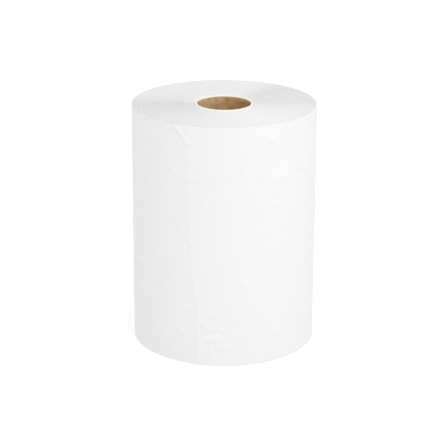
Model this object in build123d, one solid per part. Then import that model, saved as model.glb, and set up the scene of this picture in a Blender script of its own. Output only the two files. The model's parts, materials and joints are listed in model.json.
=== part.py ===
from build123d import *
import math
import os

# Paper towel roll, standing on one end: a long web of white paper wound on a brown
# cardboard core, with the loose end of the paper lying on the front.
# Millimetres and degrees. The origin is the centre of the bottom end, +Z runs up the
# core and the front faces -Y.

# Driving dimensions
ROLL_HEIGHT = 203.0
ROLL_DIAMETER = 154.0
CORE_BORE = 45.0
CORE_WALL = 1.6

# Fit of the paper round the core
WINDING_GAP = 0.05

# Rounding of both rims of the paper, turned as two cones
RIM_ROUND = 1.0
RIM_MARGIN = 0.2
RIM_CONES = 2

# Lines between the turns, as one spiral groove in each end
SHOWN_TURNS = 6
TURN_GROOVE_WIDTH = 0.5
TURN_GROOVE_DEPTH = 0.4
OUTER_TURN_INSET = 3.4
INNER_TURN_INSET = 2.2

# Loose end of the paper: its step above the turn below, where it lies round the roll,
# and how far its torn edge strays to the right. The pairs are a share of the height and
# the share of the whole stray that is reached there.
LAP_STEP = 0.6
LOOSE_END_AZIMUTH = -113.0
TORN_EDGE_STRAY = 7.6
TORN_EDGE_SHARES = (
    (1.0, 0.09),
    (0.72, 0.12),
    (0.55, 0.25),
    (0.39, 0.58),
    (0.26, 0.85),
    (0.0, 1.0),
)

# Seam of the core's inner ply, which runs round the bore as a helix
CORE_SEAM_ANGLE = 45.0
CORE_SEAM_WIDTH = 0.8
CORE_SEAM_DEPTH = 0.3

# Overrun of every cutting tool past the roll
OVERRUN = 5.0

# Worked out from the sizes above
ROLL_RADIUS = ROLL_DIAMETER / 2
CORE_RADIUS = CORE_BORE / 2 + CORE_WALL
WEB_BORE_RADIUS = CORE_RADIUS + WINDING_GAP


def upright(radius, overrun=0):
    """A cylinder on the axis, as tall as the roll and an overrun past each end."""
    cylinder = Cylinder(
        radius,
        ROLL_HEIGHT + 2 * overrun,
        align=(Align.CENTER, Align.CENTER, Align.MIN),
    )
    return Pos(0, 0, -overrun) * cylinder


def spiral(start_radius, pitch, half_turns):
    """Semicircles, each tangent to the last, that wind inwards from start_radius on +X."""
    arcs = []
    for k in range(half_turns):
        side = 1 if k % 2 == 0 else -1
        from_radius = start_radius - pitch * k / 2
        to_radius = from_radius - pitch / 2
        centre_x = side * pitch / 4
        arc_radius = (from_radius + to_radius) / 2
        arc = ThreePointArc(
            (side * from_radius, 0),
            (centre_x, side * arc_radius),
            (-side * to_radius, 0),
        )
        arcs.append(arc)
    return arcs


def spiral_band(start_radius, band_width, pitch, half_turns):
    """A flat band of one width that follows the spiral."""
    outer = spiral(start_radius, pitch, half_turns)
    inner = spiral(start_radius - band_width, pitch, half_turns)
    start = Line(inner[0] @ 0, outer[0] @ 0)
    end = Line(outer[-1] @ 1, inner[-1] @ 1)
    return make_face(outer + [end] + inner + [start])


def closed_turns():
    """The roll inside its last turn, which closes in by one step and ends on +X."""
    turn = spiral(ROLL_RADIUS, LAP_STEP, 2)
    step = Line(turn[-1] @ 1, turn[0] @ 0)
    return extrude(make_face(turn + [step]), amount=ROLL_HEIGHT)


def torn_offcut():
    """The strip that is missing from the last turn, beside its torn edge."""
    edge = []
    for height_share, stray_share in TORN_EDGE_SHARES:
        stray = math.radians(stray_share * TORN_EDGE_STRAY)
        edge.append((ROLL_RADIUS * math.sin(stray), height_share * ROLL_HEIGHT))
    top = ROLL_HEIGHT + OVERRUN
    head = (edge[0][0], top)
    foot = (edge[-1][0], -OVERRUN)
    outline = [
        Line((0, -OVERRUN), (0, top)),
        Line((0, top), head),
        Line(head, edge[0]),
        Spline(*edge),
        Line(edge[-1], foot),
        Line(foot, (0, -OVERRUN)),
    ]
    strip = extrude(Plane.YZ * make_face(outline), amount=ROLL_RADIUS + OVERRUN)
    # The turn below is the spiral's third semicircle
    turn_below = Pos(LAP_STEP / 4, 0, 0) * upright(ROLL_RADIUS - LAP_STEP * 5 / 4, OVERRUN)
    return strip - turn_below


def rim_envelope():
    """A turned shape that rounds both rims of whatever is kept inside it."""
    flat_radius = ROLL_RADIUS + RIM_MARGIN - RIM_ROUND
    low_rim = []
    for k in range(RIM_CONES + 1):
        turned = math.radians(90 * k / RIM_CONES)
        radius = flat_radius + RIM_ROUND * math.sin(turned)
        low_rim.append((radius, RIM_ROUND * (1 - math.cos(turned))))
    high_rim = [(radius, ROLL_HEIGHT - rise) for radius, rise in reversed(low_rim)]
    axis_line = [(0, ROLL_HEIGHT), (0, 0)]
    profile = Polyline(*low_rim, *high_rim, *axis_line, close=True)
    return revolve(Plane.XZ * make_face(profile), Axis.Z)


def turn_grooves():
    """The spiral groove in each end."""
    start_radius = ROLL_RADIUS - OUTER_TURN_INSET
    end_radius = WEB_BORE_RADIUS + INNER_TURN_INSET + TURN_GROOVE_WIDTH
    pitch = (start_radius - end_radius) / SHOWN_TURNS
    band = spiral_band(start_radius, TURN_GROOVE_WIDTH, pitch, 2 * SHOWN_TURNS)
    groove = extrude(band, amount=TURN_GROOVE_DEPTH + OVERRUN)
    low = Pos(0, 0, -OVERRUN) * groove
    high = Pos(0, 0, ROLL_HEIGHT - TURN_GROOVE_DEPTH) * groove
    return [low, high]


def wound_paper():
    web = closed_turns() - torn_offcut()
    web = web & rim_envelope()
    web = web - upright(WEB_BORE_RADIUS, OVERRUN)
    for groove in turn_grooves():
        web = web - groove
    return Rot(0, 0, LOOSE_END_AZIMUTH) * web


def core_seam():
    """The shallow gap between the edges of the core's inner ply."""
    lead = math.pi * CORE_BORE * math.tan(math.radians(CORE_SEAM_ANGLE))
    path = Helix(
        pitch=lead,
        height=ROLL_HEIGHT + 2 * OVERRUN,
        radius=CORE_BORE / 2,
        center=(0, 0, -OVERRUN),
    )
    section = Plane(origin=path @ 0, x_dir=(1, 0, 0), z_dir=path % 0)
    gap = section * Rectangle(2 * CORE_SEAM_DEPTH, CORE_SEAM_WIDTH)
    return sweep(gap, path=path, is_frenet=True)


def cardboard_core():
    return upright(CORE_RADIUS) - upright(CORE_BORE / 2, OVERRUN) - core_seam()


os.makedirs("parts", exist_ok=True)
export_step(wound_paper(), "parts/wound_paper.step")
export_step(cardboard_core(), "parts/cardboard_core.step")
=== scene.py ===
import json
import math
import bpy
import numpy as np
from mathutils import Euler, Matrix, Vector, noise


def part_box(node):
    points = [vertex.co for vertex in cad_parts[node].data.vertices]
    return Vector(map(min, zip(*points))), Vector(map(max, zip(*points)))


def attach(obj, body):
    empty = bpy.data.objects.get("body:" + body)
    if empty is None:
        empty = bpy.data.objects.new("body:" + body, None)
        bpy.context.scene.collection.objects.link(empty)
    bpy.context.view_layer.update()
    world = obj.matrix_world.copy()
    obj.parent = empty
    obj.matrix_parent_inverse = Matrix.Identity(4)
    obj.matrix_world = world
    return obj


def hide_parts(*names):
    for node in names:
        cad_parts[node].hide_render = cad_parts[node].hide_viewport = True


# Looks of the paper towel roll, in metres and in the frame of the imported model: the
# origin is the centre of the bottom end, +Z runs up the core, the front faces -Y.
# Angles are in degrees.

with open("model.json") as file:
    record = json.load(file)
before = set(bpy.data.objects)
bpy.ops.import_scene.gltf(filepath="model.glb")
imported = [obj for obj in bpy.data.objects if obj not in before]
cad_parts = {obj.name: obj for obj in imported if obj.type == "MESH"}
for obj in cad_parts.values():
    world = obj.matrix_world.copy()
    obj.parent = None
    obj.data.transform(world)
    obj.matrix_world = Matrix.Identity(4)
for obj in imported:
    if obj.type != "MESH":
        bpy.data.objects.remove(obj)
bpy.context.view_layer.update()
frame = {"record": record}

# Sizes that the solids have too
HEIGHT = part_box("cardboard_core")[1][2]
ROLL_RADIUS = 0.077
CORE_BORE_RADIUS = frame["record"]["mounts"][0]["dims"]["r_mm"] / 1000
CORE_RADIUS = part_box("cardboard_core")[1][0]
WINDING_GAP = 0.00005
WEB_BORE_RADIUS = CORE_RADIUS + WINDING_GAP
LAP_STEP = 0.0006
LOOSE_END_AZIMUTH = -113.0

# Torn edge of the loose end: how far it strays to the right, and the share of that stray at
# shares of the height
TORN_EDGE_STRAY = 7.6
TORN_EDGE_SHARES = (
    (0.0, 1.0),
    (0.26, 0.85),
    (0.39, 0.58),
    (0.55, 0.25),
    (0.72, 0.12),
    (1.0, 0.09),
)
STRAY_REACH = 50.0
# Small unevenness of the torn edge
RAGGED_STRAY = 0.3
RAGGED_SIZE = 0.003
RAGGED_REACH = 6.0

# Lip at the torn edge: foot, apex and underside of the slot between it and the turn below
LIP_COLUMNS = 3
SLOT_ANGLE = 0.8
# The sheet swells a little towards its edge, and so does the turn below it
SHEET_THICKNESS = 0.00006
EDGE_LIFT = 0.0003
EDGE_LIFT_REACH = 5.5
BELOW_LIFT_REACH = 13.0
CLOSED_GAP = 0.00001
# Places where the edge stands off the turn below: height, gap and half-length up the roll
OPEN_GAPS = (
    (0.139, 0.00003, 0.0080),
    (0.119, 0.00018, 0.0022),
    (0.104, 0.00010, 0.0020),
    (0.083, 0.00003, 0.0080),
    (0.051, 0.00018, 0.0028),
    (0.026, 0.00004, 0.0100),
    (0.004, 0.00010, 0.0040),
)
OPEN_GAP_REACH = 3.0

# Rims of the paper: how far their rounding reaches in from the wall and down it, how much of
# that there is at some azimuths, and the roughness of the cut
RIM_INSET = 0.0004
RIM_ROUND = 0.0005
RIM_SHARES = (
    (-180, 0.1), (-130, 0.1), (-105, 0.3), (-80, 0.7), (-60, 0.9), (0, 0.9), (60, 0.5), (180, 0.1),
)
RIM_ROWS = 3
# One more row, this far below the rounding, keeps it crisp
RIM_SUPPORT = 0.0003
RIM_FRAY = 0.00012
RIM_FRAY_SIZE = 0.0025

# Spiral lines between the turns
SHOWN_TURNS = 6
GROOVE_START_RADIUS = 0.0736
GROOVE_END_RADIUS = 0.02685
GROOVE_PITCH = (GROOVE_START_RADIUS - GROOVE_END_RADIUS) / SHOWN_TURNS
GROOVE_WIDTH = 0.0005
GROOVE_DEPTH = 0.0003
# Turns that are laid out past each end of the groove, so that lines cover the whole end
SPARE_TURNS = 2
# Finer lines between two passes of the groove, each a valley and a ridge
TOP_LINES = 16
BOTTOM_LINES = 5
LINE_JITTER_SHARE = 0.25
VALLEY_DEPTHS = (0.00018, 0.00024)
RIDGE_DEPTHS = (0.0, 0.00003)
LINE_FADE = 0.00004
LINE_MARGIN = 0.00004
# The saw leaves the ends rougher in some sectors: azimuths, and how much of their depth the
# lines have there
SECTOR_DEPTH_SHARES = (
    (-180, 1.6), (-170, 1.5), (-155, 1.4), (-140, 1.25), (-120, 1.05), (-90, 0.7), (-60, 0.4),
    (-40, 0.6), (-25, 0.75), (-10, 0.9), (0, 1.2), (8, 1.3), (28, 1.35), (38, 1.5), (50, 1.5),
    (58, 1.0), (70, 0.8), (140, 0.9), (165, 1.0), (176, 1.2), (180, 1.6),
)
# The innermost turns lie a little below the end of the core, out to a short way from it
CORE_STANDS_PROUD = 0.001
DISH_REACH = 0.0035

# Creases wander from their plain lines, and stand out more at some places than at others
CREASE_WANDER = 0.0014
CREASE_WANDER_SIZE = 0.006
CREASE_PATCH_SHARE = 0.7
CREASE_PATCH_SIZE = 0.005

# Columns round the roll: the ends have the coarse ones, and the wall divides each into more
# near the front: from and to which angle beside it, and into how many
END_COLUMNS = 160
FRONT_AZIMUTH = -90.0
WALL_DIVISIONS = ((-38.0, 40.0, 4), (-85.0, 85.0, 2))
WALL_ROW_HEIGHT = 0.00135

# Creases in the last turn of the paper: points as azimuth and height, half-width and lift
CREASES = (
    # Diagonal pleat at the loose end's top corner, in short strokes that are set off
    (((-119.9, 0.2001), (-118.4, 0.1976), (-117.2, 0.1956)), 0.0016, 0.0008),
    (((-116.4, 0.1952), (-114.0, 0.1926)), 0.0013, 0.0007),
    (((-117.4, 0.1932), (-116.2, 0.1922)), 0.0011, 0.0003),
    (((-114.8, 0.1908), (-111.9, 0.1880)), 0.0013, 0.0004),
    (((-112.4, 0.1862), (-108.6, 0.1838)), 0.0012, -0.0004),
    # Short fold to the left of it
    (((-125.8, 0.1688), (-123.0, 0.1662), (-120.4, 0.1630)), 0.0018, 0.0004),
    (((-128.8, 0.1736), (-126.6, 0.1704)), 0.0028, -0.0003),
    # Arched fold below the pleat
    (((-116.8, 0.1572), (-113.0, 0.1592), (-108.5, 0.1594), (-105.0, 0.1580)), 0.0018, 0.0002),
    (((-115.4, 0.1546), (-110.0, 0.1556), (-104.8, 0.1552)), 0.0014, -0.0002),
    # Dents and spots on the front
    (((-99.3, 0.1402), (-98.3, 0.1392)), 0.0030, -0.0002),
    (((-102.8, 0.1406), (-102.0, 0.1400)), 0.0020, 0.0003),
    (((-100.8, 0.1472), (-100.1, 0.1464)), 0.0018, 0.0002),
    (((-89.8, 0.1389), (-85.7, 0.1384)), 0.0016, -0.0002),
    (((-79.9, 0.1788), (-75.7, 0.1777)), 0.0014, -0.0002),
    (((-122.6, 0.1312), (-121.6, 0.1306)), 0.0020, 0.0004),
    (((-106.4, 0.0716), (-105.6, 0.0712)), 0.0022, 0.0003),
    (((-114.2, 0.1193), (-113.8, 0.1191)), 0.0020, -0.0006),
    (((-113.9, 0.1039), (-113.4, 0.1037)), 0.0020, -0.0006),
    # Small marks below the middle
    (((-82.1, 0.0992), (-81.1, 0.0984)), 0.0018, -0.0003),
    (((-84.0, 0.0880), (-82.9, 0.0874)), 0.0018, 0.0003),
    (((-82.0, 0.0797), (-80.4, 0.0791)), 0.0018, -0.0002),
    (((-78.1, 0.0716), (-76.6, 0.0710)), 0.0018, 0.0002),
    (((-72.4, 0.0800), (-71.3, 0.0776)), 0.0022, -0.0003),
    (((-73.8, 0.0556), (-70.8, 0.0550)), 0.0016, 0.0003),
    # Swellings at the upper right
    (((-67.2, 0.1962), (-61.9, 0.1912), (-57.0, 0.1886)), 0.0034, 0.0005),
    (((-66.0, 0.1880), (-58.0, 0.1820)), 0.0060, 0.0004),
    (((-54.2, 0.1980), (-54.1, 0.1919), (-54.0, 0.1828)), 0.0030, 0.0006),
    (((-58.7, 0.1584), (-53.6, 0.1600)), 0.0024, 0.0006),
    (((-52.6, 0.1622), (-49.0, 0.1640)), 0.0026, 0.0006),
    (((-56.0, 0.1540), (-50.0, 0.1560)), 0.0050, 0.0003),
    (((-41.0, 0.1596), (-34.7, 0.1580)), 0.0018, -0.0004),
    (((-59.9, 0.1423), (-57.0, 0.1400)), 0.0018, -0.0004),
    (((-56.3, 0.1368), (-54.0, 0.1350)), 0.0016, 0.0004),
    (((-69.5, 0.1691), (-68.1, 0.1623)), 0.0020, 0.0005),
    # Marks at the lower right
    (((-43.8, 0.0494), (-42.0, 0.0486)), 0.0020, -0.0006),
    (((-31.0, 0.0372), (-27.0, 0.0364)), 0.0018, -0.0006),
    (((-58.0, 0.0400), (-56.2, 0.0388)), 0.0020, -0.0005),
    (((-58.0, 0.0256), (-56.0, 0.0248)), 0.0020, 0.0005),
    # Marks at the left
    (((-160.9, 0.0762), (-156.0, 0.0758), (-150.0, 0.0762)), 0.0024, 0.0005),
    (((-137.6, 0.0926), (-134.0, 0.0906)), 0.0018, 0.0004),
    (((-136.1, 0.0593), (-135.3, 0.0589)), 0.0020, -0.0005),
    (((-136.2, 0.0486), (-135.8, 0.0470)), 0.0020, 0.0005),
    (((-129.4, 0.0307), (-128.2, 0.0300)), 0.0022, -0.0004),
    (((-141.8, 0.1050), (-141.0, 0.1042)), 0.0020, 0.0004),
    (((-118.6, 0.0282), (-116.4, 0.0276)), 0.0022, 0.0004),
    # Puckers where the loose end's foot is slack
    (((-112.6, 0.0486), (-111.2, 0.0480)), 0.0022, 0.0003),
    (((-100.0, 0.0436), (-94.5, 0.0438)), 0.0020, 0.0004),
    (((-103.0, 0.0355), (-98.0, 0.0330)), 0.0021, 0.0004),
    (((-98.0, 0.0286), (-92.0, 0.0284)), 0.0020, -0.0004),
    (((-100.0, 0.0230), (-94.0, 0.0225)), 0.0020, 0.0005),
    (((-98.0, 0.0190), (-98.0, 0.0120)), 0.0011, 0.0003),
    (((-94.3, 0.0115), (-85.7, 0.0116)), 0.0014, -0.0004),
)
# Slight creases all over the rest of the wall
SCATTERED_CREASES = 44
SCATTERED_AZIMUTHS = (-25.0, 190.0)
SCATTERED_HEIGHTS = (0.02, 0.185)
SCATTERED_LEAN = 8.0
SCATTERED_RISE = 0.012
SCATTERED_WIDTHS = (0.0025, 0.005)
SCATTERED_LIFTS = (0.0003, 0.0007)
# Waves of the whole wall
BROAD_WAVE = 0.045
BROAD_WAVE_LIFT = 0.00012
FINE_WAVE = 0.012
FINE_WAVE_LIFT = 0.00003

# Cardboard tube: the gap between the edges of its inner ply, which runs round as a helix
CORE_SEAM_ANGLE = 45.0
CORE_SEAM_WIDTH = 0.0008
CORE_SEAM_DEPTH = 0.0003
CORE_SEAM_START = -0.005
CORE_SEAM_FLOOR_SHARE = 0.85
CORE_LEAD = 2 * math.pi * CORE_BORE_RADIUS * math.tan(math.radians(CORE_SEAM_ANGLE))
CORE_COLUMNS = 92
CORE_ROWS = 80
# Plies on the sawn ends: fine grooves between them, and uneven points on each
CORE_PLIES = 5
CORE_WALL = CORE_RADIUS - CORE_BORE_RADIUS
PLY = CORE_WALL / CORE_PLIES
PLY_GROOVE = 0.00008
PLY_POINT_SHARES = (0.35, 0.75)
PLY_UNEVEN_SHARE = 0.5
CORE_EDGE_ROUND = 0.0002
# How far down the outside the look of the sawn ends reaches
CORE_DUSTED = 0.0013
# Slight dip over the seam of the ply behind the inner one
LOWER_SEAM_TURN = 170.0
LOWER_SEAM_DIP = 0.00008
LOWER_SEAM_WIDTH = 9.0

# Colours, as linear red, green and blue
PAPER_SHADE = (0.865, 0.864, 0.865)
PAPER_PALE = (0.877, 0.876, 0.877)
EDGES_SHADE = (0.858, 0.857, 0.858)
EDGES_PALE = (0.877, 0.876, 0.877)
BOARD_DARK = (0.35, 0.19, 0.065)
BOARD_MIDDLE = (0.56, 0.35, 0.165)
BOARD_PALE = (0.70, 0.515, 0.33)
BOARD_GREYED = (0.50, 0.40, 0.29)
SAWN_PALE = (0.98, 0.925, 0.825)
SAWN_PLY_LINE = (0.84, 0.75, 0.60)
# Steps of the colours, as values of the noise or line that mixes them
NOISE_SPAN = (0.3, 0.7)
EDGES_SPAN = (0.3, 0.65)
BOARD_STEPS = (0.27, 0.5, 0.76)
PLY_LINE_SPAN = (0.6, 1.0)
# Roughness from the low to the high side of the fibre, and gloss
PAPER_ROUGHNESS = (0.88, 1.0)
BOARD_ROUGHNESS = (0.75, 0.95)
SAWN_ROUGHNESS = (0.85, 1.0)
PAPER_GLOSS = 0.2
BOARD_GLOSS = 0.3

# Noises: how many finer layers one has, and how strong each is beside the one before
FEW_LAYERS = 1.0
SOME_LAYERS = 2.0
MANY_LAYERS = 3.0
SOFT_LAYERS = 0.5
STRONG_LAYERS = 0.6
# Grain of the surfaces: the size of each and how far it stands out
CREPE_SIZE = 0.0006
CREPE_TALL_SHARE = 0.12
CREPE_LIFT = 0.00010
FIBRE_SIZE = 0.0002
FIBRE_LIFT = 0.00003
CLOUD_SIZE = 0.004
SAWN_SWAY_SIZE = 0.016
SAWN_SWAY = 0.0012
SAWN_LINE_SIZE = 0.0003
SAWN_LINE_LIFT = 0.00008
STREAK_SIZE = 0.0011
STREAK_TALL_SHARE = 0.16
STREAK_LIFT = 0.00004
STREAK_SHARE = 0.25
# Painted light: the board's colour is paler along one side of the tube, standing for the lamps
# lighting that side of the bore more
PAINTED_LIGHT_SIDE_AZIMUTH = 170.0
PAINTED_LIGHT_SIDE_SHARE = 0.2
BLOTCH_SIZE = 0.004
FLECK_SIZE = 0.0004
FLECK_LIFT = 0.00003
PLY_FUZZ = 0.00012
SAWN_GRAIN_LIFT = 0.00006
# Pale burr of the saw on the edge of the board, which fades out between two heights
BURR_HEIGHTS = (0.0003, 0.0007)
BURR_RAGGED = 0.0004
# The board is greyer near its ends
GREY_BAND_REACH = 0.004
GREY_BAND_SHARE = 0.45

# Stage: the floor, which glows only to the camera, and the light of the room round it
FLOOR_REACH = 6.0
FLOOR_COLOUR = 0.72
FLOOR_GLOW = 0.32
LIGHT_AT_HORIZON = 1.115
LIGHT_OVERHEAD = 0.945
# Lamps: azimuth, elevation, distance, size and power
LAMPS = {
    "key": (-56, 28, 2.1, 1.55, 8.6),
    "left": (-165, 4, 1.6, 1.0, 0.5),
}
# Camera, fitted to the outline of the roll in the photograph
CAMERA_ELEVATION = 19.277
CAMERA_ROLL = 0.278
CAMERA_TARGET = (0.00032, 0, 0.0968)
CAMERA_DISTANCE = 1.386
CAMERA_LENS = 131.41
CAMERA_SENSOR = 36.0

# Noise is sampled at turned places, so that no plane of its lattice lies flat or upright, and
# each seed moves the place by its own steps. The turn is in radians
SEED = 7
NOISE_TURN = Euler((0.9, 0.6, 0.4)).to_matrix()
SEED_STEPS = (1.7, 2.3, 3.1)


def smooth(x):
    """0 below 0, 1 above 1, and a smooth rise between."""
    x = np.clip(x, 0.0, 1.0)
    return x * x * (3 - 2 * x)


def azimuth_gap(azimuth, centre):
    """Signed difference of two azimuths, from -180 to 180."""
    return (azimuth - centre + 180.0) % 360.0 - 180.0


def noise_field(points, size, seed):
    """Smooth noise from about -1 to 1, sampled at points given in metres."""
    shift = Vector([seed * step for step in SEED_STEPS])
    return np.array([noise.noise(NOISE_TURN @ Vector(p) / size + shift) for p in points])


def wall_noise(azimuth, z, size, seed):
    """Smooth noise over the wall, for grids of azimuths and heights."""
    radians = np.radians(azimuth)
    points = np.stack([ROLL_RADIUS * np.cos(radians), ROLL_RADIUS * np.sin(radians), z], axis=-1)
    return noise_field(points.reshape(-1, 3), size, seed).reshape(np.shape(z))


def new_mesh_object(name, vertices, faces):
    """A smooth-shaded object in the scene."""
    mesh = bpy.data.meshes.new(name)
    mesh.from_pydata([tuple(v) for v in vertices], [], faces)
    mesh.validate()
    mesh.shade_smooth()
    piece = bpy.data.objects.new(name, mesh)
    bpy.context.scene.collection.objects.link(piece)
    return piece


def without_repeats(corners):
    """A face's corners, each vertex once."""
    kept = []
    for corner in corners:
        if int(corner) not in kept:
            kept.append(int(corner))
    return kept


# Paper web

def column_divisions(k):
    """How many wall columns stand on one coarse column of the ends: more at the front."""
    azimuth = LOOSE_END_AZIMUTH + (k + 0.5) * 360 / END_COLUMNS
    from_front = azimuth_gap(azimuth, FRONT_AZIMUTH)
    for left, right, divisions in WALL_DIVISIONS:
        if left < from_front < right:
            return divisions
    return 1


def wall_columns():
    """Angles round from the torn edge, and the index of the first on each coarse column."""
    angles = []
    starts = []
    step = 360 / END_COLUMNS
    for k in range(END_COLUMNS):
        starts.append(len(angles))
        divisions = column_divisions(k)
        for d in range(divisions):
            angles.append((k + d / divisions) * step)
    return np.array(angles), starts


def wall_rows():
    """Heights of the wall's rows, and how far each reaches from the flat end to the wall."""
    turned = np.radians(np.linspace(0, 90, RIM_ROWS + 1))
    drops = np.append(RIM_ROUND * (1 - np.cos(turned)), RIM_ROUND + RIM_SUPPORT)
    reaches = np.append(np.sin(turned), 1.0)
    low, high = drops[-1], HEIGHT - drops[-1]
    count = int(round((high - low) / WALL_ROW_HEIGHT))
    plain = np.linspace(high, low, count + 1)[1:-1]
    row_z = np.concatenate([HEIGHT - drops, plain, drops[::-1]])
    row_reach = np.concatenate([reaches, np.ones(len(plain)), reaches[::-1]])
    return row_z, row_reach


def stray(z):
    """How far the torn edge lies to the right of the loose end's azimuth at a height."""
    heights = [share * HEIGHT for share, _ in TORN_EDGE_SHARES]
    strays = [share * TORN_EDGE_STRAY for _, share in TORN_EDGE_SHARES]
    return np.interp(z, heights, strays)


def ragged(z):
    """Small unevenness of the torn edge, in degrees."""
    points = [(0.0, 0.0, height) for height in np.ravel(z)]
    return RAGGED_STRAY * noise_field(points, RAGGED_SIZE, SEED + 2).reshape(np.shape(z))


def column_azimuth(angle, z):
    """Azimuth of a column, which follows the torn edge near it and is straight elsewhere."""
    gap = np.abs(azimuth_gap(angle, 0.0))
    near = 1 - smooth(gap / STRAY_REACH)
    nearest = 1 - smooth(gap / RAGGED_REACH)
    return LOOSE_END_AZIMUTH + angle + stray(z) * near + ragged(z) * nearest


def winding_radius(azimuth_from_start):
    """Outer radius of the paper after an angle of winding inwards from the loose end."""
    return ROLL_RADIUS - LAP_STEP * azimuth_from_start / 360


def rim_share(azimuth):
    """How much of the rims' rounding there is at an azimuth."""
    azimuths, shares = zip(*RIM_SHARES)
    return np.interp(azimuth_gap(azimuth, 0.0), azimuths, shares)


def open_gap(z):
    """How far the sheet's edge stands off the turn below at a height."""
    gap = np.zeros(np.shape(z))
    for height, depth, half_length in OPEN_GAPS:
        gap = gap + depth * np.exp(-(((z - height) / half_length) ** 2))
    return gap


def edge_swell(angle, z):
    """How far the last turn, and the turn below it, swell out beside the torn edge."""
    beside = np.clip(1 - angle / EDGE_LIFT_REACH, 0, 1)
    before = np.clip(1 - (360 - angle) / BELOW_LIFT_REACH, 0, 1)
    over = EDGE_LIFT * beside ** 2 + open_gap(z) * (1 - smooth(angle / OPEN_GAP_REACH))
    below = EDGE_LIFT + LAP_STEP - SHEET_THICKNESS - CLOSED_GAP
    return over + below * before ** 2


def scattered_creases():
    """Slight creases at places of their own on the sides and back of the roll."""
    rng = np.random.default_rng(SEED)
    creases = []
    for _ in range(SCATTERED_CREASES):
        azimuth = rng.uniform(*SCATTERED_AZIMUTHS)
        height = rng.uniform(*SCATTERED_HEIGHTS)
        lean = rng.uniform(-1, 1) * SCATTERED_LEAN
        rise = rng.uniform(-1, 1) * SCATTERED_RISE
        width = rng.uniform(*SCATTERED_WIDTHS)
        lift = rng.choice((-1, 1)) * rng.uniform(*SCATTERED_LIFTS)
        creases.append((((azimuth, height), (azimuth + lean, height + rise)), width, lift))
    return creases


def crease_relief(azimuth, z, creases):
    """Relief of creases: each is a soft ridge or valley along a line of points."""
    aside = CREASE_WANDER * wall_noise(azimuth, z, CREASE_WANDER_SIZE, SEED + 5)
    up = z + CREASE_WANDER * wall_noise(azimuth, z, CREASE_WANDER_SIZE, SEED + 6)
    total = np.zeros(np.shape(z))
    for points, width, lift in creases:
        first = points[0][0]
        across = ROLL_RADIUS * np.radians(azimuth_gap(azimuth, first)) + aside
        line = [(ROLL_RADIUS * math.radians(azimuth_gap(a, first)), h) for a, h in points]
        nearest = np.full(np.shape(z), np.inf)
        for (x0, z0), (x1, z1) in zip(line, line[1:]):
            length = (x1 - x0) ** 2 + (z1 - z0) ** 2
            along = ((across - x0) * (x1 - x0) + (up - z0) * (z1 - z0)) / length
            along = np.clip(along, 0, 1)
            apart = np.hypot(across - x0 - along * (x1 - x0), up - z0 - along * (z1 - z0))
            nearest = np.minimum(nearest, apart)
        total += lift * np.exp(-((nearest / width) ** 2))
    patches = wall_noise(azimuth, z, CREASE_PATCH_SIZE, SEED + 8)
    return total * (1 + CREASE_PATCH_SHARE * patches)


def wall_relief(azimuth, z):
    """How far the paper stands out of its plain form, in metres."""
    broad = wall_noise(azimuth, z, BROAD_WAVE, SEED)
    fine = wall_noise(azimuth, z, FINE_WAVE, SEED + 1)
    creases = crease_relief(azimuth, z, list(CREASES) + scattered_creases())
    return BROAD_WAVE_LIFT * broad + FINE_WAVE_LIFT * fine + creases


def wall_grids(angles, row_z, row_reach):
    """Azimuth, radius and height of each point of the wall, in rows from the top down.

    There is one column for each angle, then the foot, apex and underside of the lip.
    """
    apex, underside = len(angles) + 1, len(angles) + 2
    column_angle = np.append(angles, [360.0] * LIP_COLUMNS)
    angle_grid, z_grid = np.meshgrid(column_angle, row_z)
    reach_grid = np.repeat(row_reach[:, None], len(column_angle), axis=1)
    # The slot under the lip narrows to nothing at the rims
    angle_grid[:, apex] += SLOT_ANGLE * row_reach
    azimuth = column_azimuth(angle_grid, z_grid)
    radius = winding_radius(azimuth - LOOSE_END_AZIMUTH)
    radius[:, :apex] += edge_swell(angle_grid[:, :apex], z_grid[:, :apex])
    radius[:, underside] = radius[:, 0] - SHEET_THICKNESS
    # The apex lies just under the sheet
    past_edge = angle_grid[:, apex] - 360
    sheet = winding_radius(azimuth[:, apex] - 360 - LOOSE_END_AZIMUTH)
    radius[:, apex] = sheet + edge_swell(past_edge, z_grid[:, apex]) - SHEET_THICKNESS
    radius = radius + wall_relief(azimuth, z_grid) * reach_grid

    # The rims are rounded, more at some azimuths, and the cut leaves them a little uneven
    share = rim_share(azimuth)
    radius = radius - RIM_INSET * share * (1 - reach_grid)
    fray = RIM_FRAY * np.abs(wall_noise(azimuth, z_grid, RIM_FRAY_SIZE, SEED + 4))
    drop = (HEIGHT - z_grid) * share + fray
    rise = z_grid * share + fray
    z_grid[:RIM_ROWS + 1] = HEIGHT - drop[:RIM_ROWS + 1]
    z_grid[-RIM_ROWS - 1:] = rise[-RIM_ROWS - 1:]
    return azimuth, radius, z_grid


def wall_mesh(azimuth, radius, z_grid):
    """Vertices and faces of the wall, and the index of each point's vertex."""
    rows, columns = z_grid.shape
    vertices = []
    index = np.zeros((rows, columns), dtype=int)
    for i in range(rows):
        for j in range(columns):
            # The lip's columns meet in one in the first and last rows
            if i in (0, rows - 1) and j >= columns - LIP_COLUMNS:
                index[i, j] = index[i, 0]
                continue
            turned = math.radians(azimuth[i, j])
            x, y = radius[i, j] * math.cos(turned), radius[i, j] * math.sin(turned)
            index[i, j] = len(vertices)
            vertices.append((x, y, z_grid[i, j]))
    faces = []
    order = list(range(columns)) + [0]
    for i in range(rows - 1):
        for a, b in zip(order, order[1:]):
            corners = [index[i, a], index[i + 1, a], index[i + 1, b], index[i, b]]
            faces.append(without_repeats(corners))
    return vertices, faces, index


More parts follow.
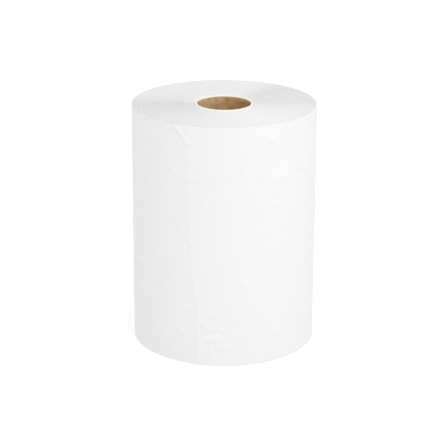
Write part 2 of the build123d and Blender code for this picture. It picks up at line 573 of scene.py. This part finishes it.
def paper_web():
    """The whole web of paper: the wall, both ends, and the hole between them."""
    angles, starts = wall_columns()
    count = len(angles)
    azimuth, radius, z_grid = wall_grids(angles, *wall_rows())
    vertices, faces, index = wall_mesh(azimuth, radius, z_grid)
    wall_faces = len(faces)
    rim_top = [int(n) for n in index[0, :count]]
    rim_low = [int(n) for n in index[-1, :count]]
    hole_top = end_face(vertices, faces, rim_top, starts, radius[0, starts], HEIGHT, 1)
    hole_low = end_face(vertices, faces, rim_low, starts, radius[-1, starts], 0.0, -1)
    for k in range(END_COLUMNS):
        n = (k + 1) % END_COLUMNS
        faces.append([hole_top[k], hole_top[n], hole_low[n], hole_low[k]])

    piece = new_mesh_object("paper_web", vertices, faces)
    piece.data.materials.append(paper_wall_material())
    piece.data.materials.append(paper_end_material())
    for polygon in piece.data.polygons:
        polygon.material_index = 0 if polygon.index < wall_faces else 1
    part_shading(piece.data, [index[:, j] for j in (0, *range(count, count + LIP_COLUMNS))])
    return piece


def part_shading(mesh, columns):
    """Keep the shading of the lip's faces apart along its upright edges."""
    columns = [{int(n) for n in column} for column in columns]
    sharp = mesh.attributes.new("sharp_edge", "BOOLEAN", "EDGE")
    for edge in mesh.edges:
        ends = set(edge.vertices)
        sharp.data[edge.index].value = any(ends <= column for column in columns)


def turn_lines(rng, lines):
    """Rings of one end: each is its place and its depth, where a turn starts and ends.

    A place is counted in pitches of the spiral, inwards. Each ring runs on into the one
    that lies a pitch further in, so both numbers change steadily along the winding. The
    second ring of every turn is the floor of the groove.
    """
    groove_share = GROOVE_WIDTH / GROOVE_PITCH
    spacing = (1 - groove_share) / lines
    turns = SHOWN_TURNS + 2 * SPARE_TURNS
    places = []
    depths = []
    for _ in range(turns):
        place = [0.0, groove_share / 2]
        depth = [rng.uniform(*RIDGE_DEPTHS), GROOVE_DEPTH]
        for line in range(lines):
            middle = groove_share + line * spacing
            for step, span in ((0.0, RIDGE_DEPTHS), (0.5, VALLEY_DEPTHS)):
                jitter = rng.uniform(-1, 1) * LINE_JITTER_SHARE * spacing / 2
                place.append(middle + step * spacing + jitter)
                depth.append(rng.uniform(*span))
        places.append(place)
        depths.append(depth)
    rings = []
    for turn in range(turns - 1):
        for here, there, now, later in zip(
            places[turn], places[turn + 1], depths[turn], depths[turn + 1]
        ):
            rings.append((turn - SPARE_TURNS + here, turn - SPARE_TURNS + there, now, later))
    return rings, len(places[0])


def end_sink(radius, rim_radius, depth):
    """How far a point of an end lies below the end's level, on a line of some depth."""
    fade = smooth((rim_radius - radius) / LINE_FADE)
    fade *= smooth((radius - WEB_BORE_RADIUS) / LINE_FADE)
    dish = 1 - smooth((radius - WEB_BORE_RADIUS) / DISH_REACH)
    return float(depth * fade + CORE_STANDS_PROUD * dish)


def sector_depth_share(azimuth):
    """How much of their depth the lines between the turns have at an azimuth."""
    azimuths, shares = zip(*SECTOR_DEPTH_SHARES)
    return np.interp(azimuth_gap(azimuth, 0.0), azimuths, shares)


def end_points(vertices, rim_radius, level, outward):
    """Points of one end, in rows from the rim to the hole, and the hole's circle.

    A point of a row is "rim" or "hole" with the number of its column, where the ring has
    run into one of them, or "own" with the index of its vertex.
    """
    azimuth = np.array(
        [float(column_azimuth(k * 360 / END_COLUMNS, level)) for k in range(END_COLUMNS)]
    )
    radians = np.radians(azimuth)
    winding = azimuth - LOOSE_END_AZIMUTH
    rough = sector_depth_share(azimuth)
    lines = TOP_LINES if outward > 0 else BOTTOM_LINES
    rings, per_turn = turn_lines(np.random.default_rng(SEED + outward), lines)

    def point(k, radius, depth):
        vertices.append(
            (
                radius * math.cos(radians[k]),
                radius * math.sin(radians[k]),
                level - outward * end_sink(radius, rim_radius[k], depth),
            )
        )
        return len(vertices) - 1

    hole = [point(k, WEB_BORE_RADIUS, 0.0) for k in range(END_COLUMNS)]
    rows = [[("rim", k % END_COLUMNS) for k in range(END_COLUMNS + 1)]]
    for number, (start, finish, depth, later) in enumerate(rings):
        row = []
        in_groove = number % per_turn == 1
        for k in range(END_COLUMNS):
            along = winding[k] / 360
            place = start + (finish - start) * along + along
            radius = GROOVE_START_RADIUS - GROOVE_PITCH * place
            if radius > rim_radius[k] - LINE_MARGIN:
                row.append(("rim", k))
            elif radius < WEB_BORE_RADIUS + LINE_MARGIN:
                row.append(("hole", k))
            else:
                share = 1.0 if in_groove else rough[k]
                sunk = (depth + (later - depth) * along) * share
                row.append(("own", point(k, radius, sunk)))
        rows.append(row)
    rows.append([("hole", k % END_COLUMNS) for k in range(END_COLUMNS + 1)])
    # Once round, each ring ends where the one a turn further in starts
    for ring in range(1, len(rings) + 1):
        ahead = ring + per_turn
        rows[ring].append(rows[ahead][0] if ahead < len(rows) else ("hole", 0))
    return rows, hole


def end_face(vertices, faces, rim, starts, rim_radius, level, outward):
    """One end of the web, on spiral rings that follow the turns. Returns the hole's circle."""
    rows, hole = end_points(vertices, rim_radius, level, outward)

    def vertex(corner):
        kind, value = corner
        if kind == "rim":
            return rim[starts[value]]
        return hole[value] if kind == "hole" else value

    for outer, inner in zip(rows, rows[1:]):
        for k in range(END_COLUMNS):
            a, b, c, d = outer[k], outer[k + 1], inner[k + 1], inner[k]
            # Nothing lies between two rings that have both run into the rim or the hole
            if a[0] == d[0] != "own" and b[0] == c[0] != "own":
                continue
            # Beside the rim, a face takes up all the finer columns of the wall
            chain = [vertex(a)]
            if a[0] == "rim" and b[0] == "rim":
                end = starts[k + 1] if k + 1 < END_COLUMNS else len(rim)
                chain += rim[starts[k] + 1:end]
            corners = without_repeats(chain + [vertex(b), vertex(c), vertex(d)])
            if len(corners) > 2:
                faces.append(corners if outward > 0 else corners[::-1])
    return hole


# Cardboard tube

def core_profile():
    """Once round the wall's section: radius, height and whether that point is on a sawn end."""
    rng = np.random.default_rng(SEED + 3)
    heights = np.linspace(CORE_EDGE_ROUND, HEIGHT - CORE_EDGE_ROUND, CORE_ROWS + 1)
    bore = [(CORE_BORE_RADIUS, z, False) for z in heights]
    outside_z = np.sort(np.append(heights, (CORE_DUSTED, HEIGHT - CORE_DUSTED)))[::-1]
    ends = (0, len(outside_z) - 1)
    outside = [(CORE_RADIUS, z, n in ends) for n, z in enumerate(outside_z)]
    sawn = []
    for n in range(CORE_PLIES):
        first = CORE_BORE_RADIUS + n * PLY
        for share in PLY_POINT_SHARES:
            uneven = rng.uniform(0, PLY_UNEVEN_SHARE) * PLY_GROOVE
            sawn.append((first + share * PLY, uneven))
        if n < CORE_PLIES - 1:
            sawn.append((first + PLY, PLY_GROOVE))
    top = [(radius, HEIGHT - sink, True) for radius, sink in sawn]
    bottom = [(radius, sink, True) for radius, sink in reversed(sawn)]
    return bore + top + outside + bottom


def core_tube():
    """The tube, on columns that follow the gap between the edges of its inner ply."""
    half_width = CORE_SEAM_WIDTH / 2 / math.sin(math.radians(CORE_SEAM_ANGLE))
    half = math.degrees(half_width / CORE_BORE_RADIUS)
    floor_half = CORE_SEAM_FLOOR_SHARE * half
    plain = np.linspace(half, 360 - half, CORE_COLUMNS + 1)[1:-1]
    turn = np.concatenate([[-half, -floor_half, floor_half, half], plain])
    sunk = np.zeros(len(turn))
    # The second and third columns are the floor of the gap
    sunk[1:3] = CORE_SEAM_DEPTH
    apart = azimuth_gap(turn, LOWER_SEAM_TURN) / LOWER_SEAM_WIDTH
    sunk += LOWER_SEAM_DIP * np.exp(-(apart ** 2))

    profile = core_profile()
    columns = len(turn)
    vertices = []
    for radius, z, _ in profile:
        azimuth = np.radians(turn + 360 * (z - CORE_SEAM_START) / CORE_LEAD)
        reach = np.maximum(radius, CORE_BORE_RADIUS + sunk)
        for a, r in zip(azimuth, reach):
            vertices.append((r * math.cos(a), r * math.sin(a), z))
    faces = []
    sawn = []
    for i in range(len(profile)):
        n = (i + 1) % len(profile)
        for j in range(columns):
            m = (j + 1) % columns
            corners = [i * columns + j, n * columns + j, n * columns + m, i * columns + m]
            faces.append(corners)
            sawn.append(profile[i][2] or profile[n][2])

    piece = new_mesh_object("core_tube", vertices, faces)
    piece.data.materials.append(board_material())
    piece.data.materials.append(sawn_board_material())
    for polygon in piece.data.polygons:
        polygon.material_index = 1 if sawn[polygon.index] else 0
    return piece


# Materials

def node_material(name):
    """A new material of nodes, with its tree and its shader."""
    material = bpy.data.materials.new(name)
    material.use_nodes = True
    tree = material.node_tree
    shader = tree.nodes["Principled BSDF"]
    return material, tree, shader


def add_node(tree, kind, inputs=None, **settings):
    """A new node: an input that is given a socket is linked to it, any other is set."""
    node = tree.nodes.new("ShaderNode" + kind)
    for name, value in settings.items():
        setattr(node, name, value)
    for name, value in (inputs or {}).items():
        if isinstance(value, bpy.types.NodeSocket):
            tree.links.new(value, node.inputs[name])
        else:
            node.inputs[name].default_value = value
    return node


def add_math(tree, operation, *values):
    """The result of a sum on numbers or sockets."""
    node = add_node(tree, "Math", dict(enumerate(values)), operation=operation)
    return node.outputs[0]


def add_noise(tree, place, size, layers=SOME_LAYERS, strength=SOFT_LAYERS):
    """Noise from 0 to 1, whose largest grains have a size."""
    inputs = {"Vector": place, "Scale": 1 / size, "Detail": layers, "Roughness": strength}
    return add_node(tree, "TexNoise", inputs).outputs["Fac"]


def add_ramp(tree, value, positions, colours):
    """A colour that changes with a value: each position has a colour."""
    ramp = add_node(tree, "ValToRGB", {"Fac": value})
    elements = ramp.color_ramp.elements
    while len(elements) < len(positions):
        elements.new(1.0)
    for element, position, colour in zip(elements, positions, colours):
        element.position = position
        element.color = (*colour, 1.0)
    return ramp.outputs["Color"]


def add_range(tree, value, start, end, low, high):
    """A number that goes from low to high as a value goes from start to end."""
    inputs = {"Value": value, "From Min": start, "From Max": end, "To Min": low, "To Max": high}
    return add_node(tree, "MapRange", inputs).outputs["Result"]


def add_mix(tree, share, first, second):
    """The first colour at a share of 0, the second at 1: the node's inputs 6 and 7."""
    inputs = {0: share, 6: first, 7: second}
    return add_node(tree, "Mix", inputs, data_type="RGBA").outputs[2]


def add_stretch(tree, place, tall_share):
    """The same place with its height shrunk, which draws a grain out up the roll."""
    scale = (1.0, 1.0, tall_share)
    return add_node(tree, "Mapping", {"Vector": place, "Scale": scale}).outputs[0]


def add_bump(tree, height, distance, normal=None):
    """A normal that follows a relief, on top of another normal if one is given."""
    inputs = {"Height": height, "Distance": distance, "Strength": 1.0}
    if normal is not None:
        inputs["Normal"] = normal
    return add_node(tree, "Bump", inputs).outputs["Normal"]


def add_axis_places(tree, place):
    """Distance from the axis, the place in plan, and the height."""
    split = add_node(tree, "SeparateXYZ", {0: place})
    flat = add_node(tree, "CombineXYZ", {"X": split.outputs["X"], "Y": split.outputs["Y"]})
    length = add_node(tree, "VectorMath", {0: flat.outputs[0]}, operation="LENGTH")
    return length.outputs["Value"], flat.outputs[0], split.outputs["Z"]


def dress(tree, shader, colour, rough, normal, gloss):
    """Link a material's colour, roughness and normal to its shader."""
    tree.links.new(colour, shader.inputs["Base Color"])
    tree.links.new(rough, shader.inputs["Roughness"])
    tree.links.new(normal, shader.inputs["Normal"])
    shader.inputs["Specular IOR Level"].default_value = gloss


def paper_wall_material():
    """Creped paper: fine ridges that run up the roll, on a soft fibre grain."""
    material, tree, shader = node_material("towel_paper")
    place = add_node(tree, "TexCoord").outputs["Object"]
    drawn_out = add_stretch(tree, place, CREPE_TALL_SHARE)
    crepe = add_noise(tree, drawn_out, CREPE_SIZE, MANY_LAYERS, STRONG_LAYERS)
    fibre = add_noise(tree, place, FIBRE_SIZE)
    cloud = add_noise(tree, place, CLOUD_SIZE, MANY_LAYERS)
    colour = add_ramp(tree, cloud, NOISE_SPAN, (PAPER_SHADE, PAPER_PALE))
    rough = add_range(tree, fibre, *NOISE_SPAN, *PAPER_ROUGHNESS)
    ridges = add_bump(tree, crepe, CREPE_LIFT)
    grain = add_bump(tree, fibre, FIBRE_LIFT, ridges)
    dress(tree, shader, colour, rough, grain, PAPER_GLOSS)
    return material


def paper_end_material():
    """The sawn edges of the turns: fine lines round the axis, which stray a little."""
    material, tree, shader = node_material("paper_edges")
    place = add_node(tree, "TexCoord").outputs["Object"]
    radius, flat, _ = add_axis_places(tree, place)
    sway = add_noise(tree, flat, SAWN_SWAY_SIZE, FEW_LAYERS)
    strayed = add_math(tree, "MULTIPLY_ADD", sway, SAWN_SWAY, radius)
    inputs = {
        "W": strayed,
        "Scale": 1 / SAWN_LINE_SIZE,
        "Detail": SOME_LAYERS,
        "Roughness": STRONG_LAYERS,
    }
    turns = add_node(tree, "TexNoise", inputs, noise_dimensions="1D").outputs["Fac"]
    fibre = add_noise(tree, place, FIBRE_SIZE)
    colour = add_ramp(tree, turns, EDGES_SPAN, (EDGES_SHADE, EDGES_PALE))
    rough = add_range(tree, fibre, *NOISE_SPAN, *PAPER_ROUGHNESS)
    ridges = add_bump(tree, turns, SAWN_LINE_LIFT)
    grain = add_bump(tree, fibre, FIBRE_LIFT, ridges)
    dress(tree, shader, colour, rough, grain, PAPER_GLOSS)
    return material


def board_material():
    """Brown kraft board, its fibres lying along the wound strip, pale at the sawn edges, with
    painted light that makes one side of the tube paler.
    """
    material, tree, shader = node_material("core_board")
    place = add_node(tree, "TexCoord").outputs["Object"]
    _, _, height = add_axis_places(tree, place)
    unwound = add_math(tree, "MULTIPLY", height, -2 * math.pi / CORE_LEAD)
    twisted = add_node(
        tree, "VectorRotate", {"Vector": place, "Angle": unwound}, rotation_type="Z_AXIS"
    ).outputs[0]
    along = add_stretch(tree, twisted, STREAK_TALL_SHARE)
    streak = add_noise(tree, along, STREAK_SIZE, MANY_LAYERS, STRONG_LAYERS)
    blotch = add_noise(tree, place, BLOTCH_SIZE, MANY_LAYERS)
    fleck = add_noise(tree, along, FLECK_SIZE)
    blotch_part = add_math(tree, "MULTIPLY", blotch, 1 - STREAK_SHARE)
    mixed = add_math(tree, "MULTIPLY_ADD", streak, STREAK_SHARE, blotch_part)
    # Painted light: the colour grows paler towards one side of the tube, for the light that falls
    # on that side of the bore
    pale = math.radians(PAINTED_LIGHT_SIDE_AZIMUTH)
    side = Vector((math.cos(pale), math.sin(pale), 0)) / CORE_BORE_RADIUS
    toward_painted_light = add_node(tree, "VectorMath", {0: place, 1: side}, operation="DOT_PRODUCT")
    mixed = add_math(tree, "MULTIPLY_ADD", toward_painted_light.outputs["Value"], PAINTED_LIGHT_SIDE_SHARE, mixed)
    brown = add_ramp(tree, mixed, BOARD_STEPS, (BOARD_DARK, BOARD_MIDDLE, BOARD_PALE))
    from_top = add_math(tree, "SUBTRACT", HEIGHT, height)
    from_end = add_math(tree, "MINIMUM", from_top, height)
    frayed = add_math(tree, "MULTIPLY_ADD", fleck, -BURR_RAGGED, from_end)
    # The board turns greyer within a short band of each end
    in_grey_band = add_range(tree, frayed, BURR_HEIGHTS[1], GREY_BAND_REACH, GREY_BAND_SHARE, 0.0)
    greyed_brown = add_mix(tree, in_grey_band, brown, (*BOARD_GREYED, 1.0))
    in_burr = add_range(tree, frayed, *BURR_HEIGHTS, 1.0, 0.0)
    colour = add_mix(tree, in_burr, greyed_brown, (*SAWN_PALE, 1.0))
    rough = add_range(tree, streak, *NOISE_SPAN, *BOARD_ROUGHNESS)
    fibres = add_bump(tree, streak, STREAK_LIFT)
    grain = add_bump(tree, fleck, FLECK_LIFT, fibres)
    dress(tree, shader, colour, rough, grain, BOARD_GLOSS)
    return material


def sawn_board_material():
    """The pale sawn ends of the tube, with the lines of its plies."""
    material, tree, shader = node_material("core_board_sawn")
    place = add_node(tree, "TexCoord").outputs["Object"]
    radius, _, _ = add_axis_places(tree, place)
    fibre = add_noise(tree, place, FLECK_SIZE, MANY_LAYERS)
    strayed = add_math(tree, "MULTIPLY_ADD", fibre, PLY_FUZZ, radius)
    from_bore = add_math(tree, "SUBTRACT", strayed, CORE_BORE_RADIUS + PLY_FUZZ / 2)
    wave = add_math(tree, "COSINE", add_math(tree, "MULTIPLY", from_bore, 2 * math.pi / PLY))
    on_line = add_range(tree, wave, -1.0, 1.0, 0.0, 1.0)
    # The lines lie between two plies, so there is none at the bore or on the outside
    from_middle = add_math(tree, "SUBTRACT", from_bore, CORE_WALL / 2)
    aside = add_math(tree, "ABSOLUTE", from_middle)
    between = add_math(tree, "LESS_THAN", aside, (CORE_WALL - PLY) / 2)
    on_line = add_math(tree, "MULTIPLY", on_line, between)
    colour = add_ramp(tree, on_line, PLY_LINE_SPAN, (SAWN_PALE, SAWN_PLY_LINE))
    rough = add_range(tree, fibre, *NOISE_SPAN, *SAWN_ROUGHNESS)
    grain = add_bump(tree, fibre, SAWN_GRAIN_LIFT)
    dress(tree, shader, colour, rough, grain, PAPER_GLOSS)
    return material


# Stage

def seen_by_camera(tree):
    """1 for what the camera sees, straight or in glass or gloss, and 0 for light."""
    rays = add_node(tree, "LightPath").outputs
    plain = add_math(tree, "MAXIMUM", rays["Is Camera Ray"], rays["Is Transmission Ray"])
    return add_math(tree, "MAXIMUM", plain, rays["Is Glossy Ray"])


def floor():
    """A wide pale floor, which keeps the roll's shadow."""
    mesh = bpy.data.meshes.new("floor")
    signs = ((-1, -1), (1, -1), (1, 1), (-1, 1))
    corners = [(x * FLOOR_REACH, y * FLOOR_REACH, 0) for x, y in signs]
    mesh.from_pydata(corners, [], [(0, 1, 2, 3)])
    piece = bpy.data.objects.new("floor", mesh)
    bpy.context.scene.collection.objects.link(piece)
    material, tree, shader = node_material("floor_white")
    shader.inputs["Base Color"].default_value = (FLOOR_COLOUR, FLOOR_COLOUR, FLOOR_COLOUR, 1)
    shader.inputs["Roughness"].default_value = 1.0
    shader.inputs["Specular IOR Level"].default_value = 0.0
    shader.inputs["Emission Color"].default_value = (1, 1, 1, 1)
    glow = add_math(tree, "MULTIPLY", seen_by_camera(tree), FLOOR_GLOW)
    tree.links.new(glow, shader.inputs["Emission Strength"])
    mesh.materials.append(material)


def world_light():
    """A soft room, a little brighter at the horizon than overhead, and white to the camera."""
    world = bpy.data.worlds.new("studio")
    bpy.context.scene.world = world
    world.use_nodes = True
    tree = world.node_tree
    background = tree.nodes["Background"]
    background.inputs["Color"].default_value = (1, 1, 1, 1)
    coords = add_node(tree, "TexCoord").outputs["Generated"]
    up = add_node(tree, "SeparateXYZ", {0: coords}).outputs["Z"]
    light = add_range(tree, up, 0.0, 1.0, LIGHT_AT_HORIZON, LIGHT_OVERHEAD)
    # The node's inputs 2 and 3 are the numbers to mix
    inputs = {0: seen_by_camera(tree), 2: light, 3: 1.0}
    level = add_node(tree, "Mix", inputs, data_type="FLOAT").outputs[0]
    tree.links.new(level, background.inputs["Strength"])


def area_light(name, azimuth, elevation, distance, size, power):
    """A square lamp that faces the middle of the roll."""
    lamp = bpy.data.lights.new(name, "AREA")
    lamp.shape = "SQUARE"
    lamp.size = size
    lamp.energy = power
    a, e = math.radians(azimuth), math.radians(elevation)
    back = Vector((math.cos(a) * math.cos(e), math.sin(a) * math.cos(e), math.sin(e)))
    holder = bpy.data.objects.new(name, lamp)
    holder.location = Vector((0, 0, HEIGHT / 2)) + back * distance
    holder.rotation_mode = "QUATERNION"
    holder.rotation_quaternion = back.to_track_quat("Z", "Y")
    bpy.context.scene.collection.objects.link(holder)


def camera():
    """A plain camera in front of the roll, raised, and rolled a little."""
    elevation = math.radians(CAMERA_ELEVATION)
    roll = math.radians(CAMERA_ROLL)
    back = Vector((0, -math.cos(elevation), math.sin(elevation)))
    right = Vector((1, 0, 0))
    up = back.cross(right)
    tilted_right = right * math.cos(roll) + up * math.sin(roll)
    tilted_up = up * math.cos(roll) - right * math.sin(roll)
    turn = Matrix((tilted_right, tilted_up, back)).transposed()
    data = bpy.data.cameras.new("camera")
    data.lens = CAMERA_LENS
    data.sensor_width = CAMERA_SENSOR
    holder = bpy.data.objects.new("camera", data)
    place = Vector(CAMERA_TARGET) + back * CAMERA_DISTANCE
    holder.matrix_world = Matrix.Translation(place) @ turn.to_4x4()
    bpy.context.scene.collection.objects.link(holder)
    bpy.context.scene.camera = holder


web = paper_web()
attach(web, "root")
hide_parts("wound_paper")

tube = core_tube()
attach(tube, "root")
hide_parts("cardboard_core")

floor()
world_light()
for name, settings in LAMPS.items():
    area_light(name, *settings)
camera()
bpy.context.scene.view_settings.view_transform = "Standard"
